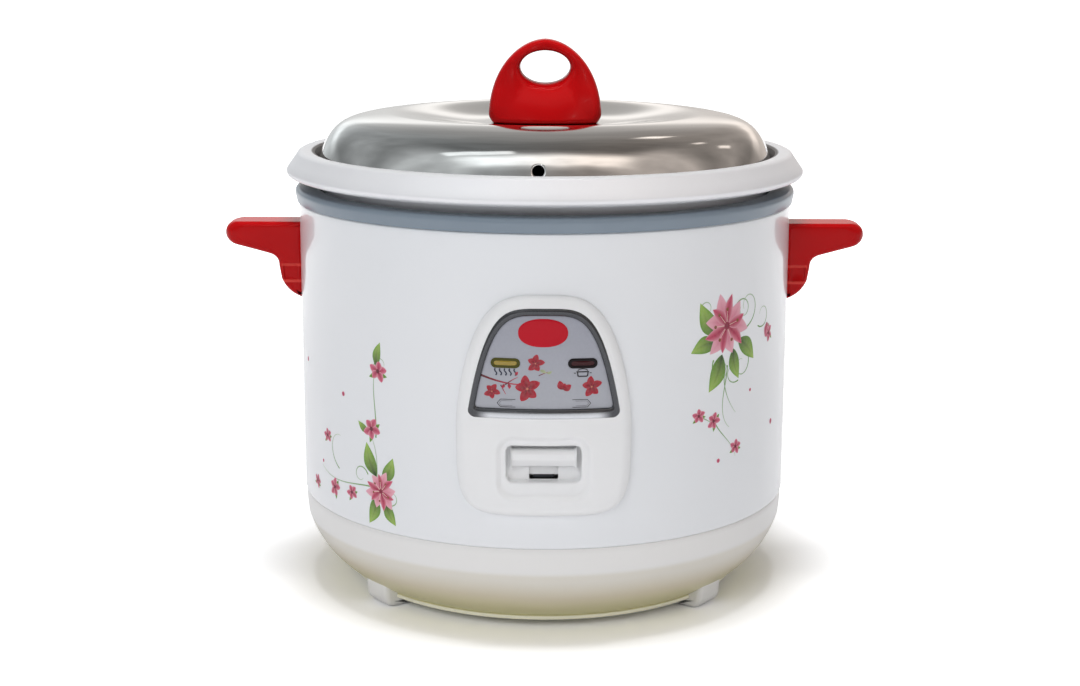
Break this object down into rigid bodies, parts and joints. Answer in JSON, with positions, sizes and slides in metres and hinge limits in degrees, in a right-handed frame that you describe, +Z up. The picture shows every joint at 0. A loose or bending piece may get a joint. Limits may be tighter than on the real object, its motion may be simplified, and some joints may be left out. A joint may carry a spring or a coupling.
{
  "type": "rice cooker",
  "caption": "Drum-shaped electric rice cooker with a domed steel lid, red side handles and knob, and a one-lever cook and warm switch.",
  "frame": {"origin": "on the floor under the centre of the body, where the feet stand", "axes": "+Z up, +X to the right handle, -Y towards the switch panel, +Y towards the mains inlet"},
  "size_m": [0.341, 0.2728, 0.2882],
  "materials": {
    "shell_paint": "white gloss enamel with a printed flower pattern",
    "ring_grey": "blue-grey, satin",
    "base_plastic": "warm white, satin",
    "panel_plastic": "white, satin gloss",
    "bezel_grey": "dark grey, satin",
    "label_print": "printed film, grey-lilac with red blossoms",
    "lens_amber": "translucent yellow",
    "lens_red": "translucent dark red",
    "lamp_glass": "clear",
    "red_plastic": "red, high gloss",
    "lid_steel": "polished stainless steel",
    "pot_aluminium": "satin, spun",
    "cast_aluminium": "cast, turned face",
    "liner_steel": "zinc plated",
    "screw_steel": "plated",
    "dark_steel": "dark grey",
    "element_steel": "dark oxide",
    "magnet_metal": "plain",
    "ferrite": "plain",
    "ceramic_white": "unglazed",
    "fuse_tan": "plain",
    "switch_black": "black",
    "switch_white": "white",
    "plunger_red": "red",
    "pin_metal": "nickel plated",
    "washer_rubber": "grey silicone",
    "wire_brown": "insulation",
    "wire_red": "insulation",
    "wire_blue": "insulation",
    "wire_green": "insulation",
    "wire_white": "insulation"
  },
  "bodies": {
    "housing": {"outer_shell": "shell_paint", "top_ring": "ring_grey", "ring_screws": "screw_steel", "base": "base_plastic", "bottom_plate": "liner_steel", "bottom_plate_screws": "screw_steel", "inner_liner": "liner_steel", "liner_nuts": "screw_steel", "base_screws": "screw_steel", "heating_plate": "cast_aluminium", "heating_element": "element_steel", "element_bushes": "ceramic_white", "plate_posts": "liner_steel", "plate_screws": "screw_steel", "thermostat_housing": "liner_steel", "thermostat_screws": "screw_steel", "sensor_spring": "screw_steel", "magnet_spring": "screw_steel", "lever_bracket": "liner_steel", "bracket_screws": "screw_steel", "lever_pin": "screw_steel", "pin_clip": "screw_steel", "microswitch": "switch_black", "microswitch_screws": "screw_steel", "warm_thermostat": "ceramic_white", "thermal_fuse": "fuse_tan", "fuse_clip": "liner_steel", "front_panel": "panel_plastic", "panel_bezel": "bezel_grey", "label_plate": "label_print", "warm_lens": "lens_amber", "cook_lens": "lens_red", "warm_lamp": "lamp_glass", "cook_lamp": "lamp_glass", "lamp_holder": "switch_white", "panel_screws": "screw_steel", "inlet_housing": "switch_black", "inlet_pins": "pin_metal", "inlet_screws": "screw_steel", "handle_left": "red_plastic", "handle_right": "red_plastic", "handle_screws": "screw_steel", "wire_live": "wire_brown", "wire_heater": "wire_red", "wire_neutral": "wire_blue", "wire_earth": "wire_green", "wire_lamps": "wire_white"},
    "pot": {"inner_pot": "pot_aluminium"},
    "lid": {"lid": "lid_steel", "knob": "red_plastic", "knob_screw": "screw_steel", "knob_washer": "washer_rubber"},
    "button": {"switch_button": "panel_plastic", "button_link": "dark_steel"},
    "lever": {"switch_lever": "liner_steel"},
    "magnet": {"magnet": "magnet_metal", "magnet_rod": "screw_steel"},
    "plunger": {"microswitch_plunger": "plunger_red"},
    "sensor": {"sensor_cap": "pot_aluminium", "ferrite_disc": "ferrite"}
  },
  "joints": [
    {"name": "pot_lift", "type": "slide", "parent": "housing", "child": "pot", "axis": [0, 0, 1], "range_m": [0, 0.17]},
    {"name": "lid_lift", "type": "slide", "parent": "pot", "child": "lid", "axis": [0, 0, 1], "range_m": [0, 0.1]},
    {"name": "button_press", "type": "slide", "parent": "housing", "child": "button", "axis": [0, 0, -1], "range_m": [0, 0.0057], "stiffness_N_per_m": 300, "springref_m": -0.01},
    {"name": "lever_tilt", "type": "hinge", "parent": "housing", "child": "lever", "pos_m": [0, -0.062, 0.044], "axis": [1, 0, 0], "range_deg": [0, 5.5]},
    {"name": "magnet_rise", "type": "slide", "parent": "housing", "child": "magnet", "axis": [0, 0, 1], "range_m": [0, 0.00595], "deforming": ["magnet_spring"]},
    {"name": "plunger_press", "type": "slide", "parent": "housing", "child": "plunger", "axis": [0, 0, 1], "range_m": [0, 0.00212]},
    {"name": "sensor_rise", "type": "slide", "parent": "housing", "child": "sensor", "axis": [0, 0, 1], "range_m": [0, 0.003], "deforming": ["sensor_spring"]}
  ],
  "couplings": [
    {"joint": "lever_tilt", "follows": "button_press", "rad_per_m": 16.807},
    {"joint": "magnet_rise", "follows": "button_press", "ratio": 1.042},
    {"joint": "plunger_press", "follows": "button_press", "ratio": 0.36975},
    {"joint": "sensor_rise", "follows": "pot_lift", "ratio": 0.0176}
  ]
}
